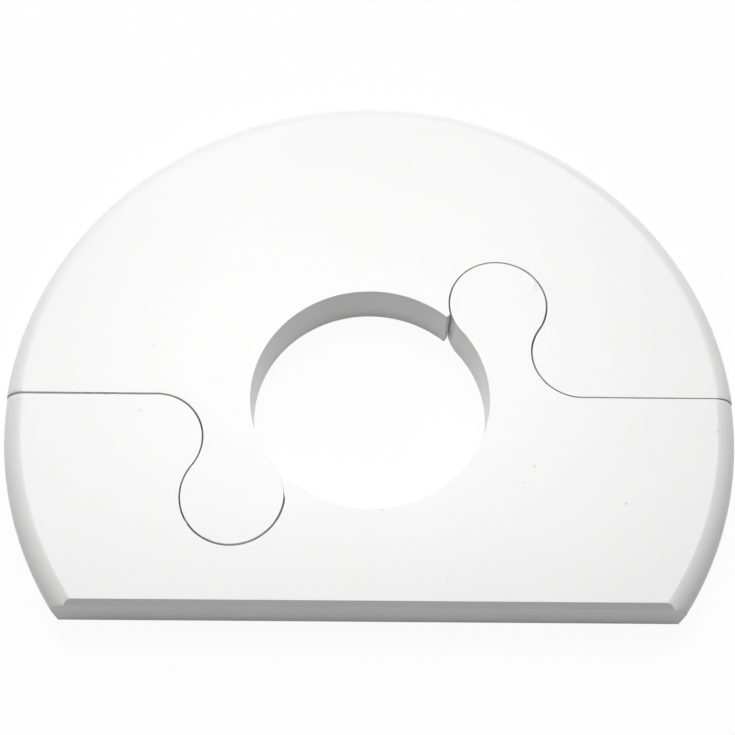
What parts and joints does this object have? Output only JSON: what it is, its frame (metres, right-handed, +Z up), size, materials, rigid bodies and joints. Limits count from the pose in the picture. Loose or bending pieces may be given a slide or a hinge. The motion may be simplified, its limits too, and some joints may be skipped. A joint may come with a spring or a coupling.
{
  "type": "pipe rosette",
  "caption": "Flat split pipe rosette with a round bore, a straight wall side and a jigsaw joint between its halves.",
  "frame": {"origin": "on the bore's axis, in the flat underside that lies on the floor", "axes": "+Z up the pipe, out of the visible face; +Y away from the wall; +X along the straight wall side"},
  "size_m": [0.0704, 0.0558, 0.0052],
  "materials": {
    "white_plastic": "satin"
  },
  "bodies": {
    "wall_side_half": {"wall_side_half": "white_plastic"},
    "front_half": {"front_half": "white_plastic"}
  },
  "joints": [
    {"name": "front_half_lift", "type": "slide", "parent": "wall_side_half", "child": "front_half", "axis": [0, 0, 1], "range_m": [0, 0.0052]}
  ]
}
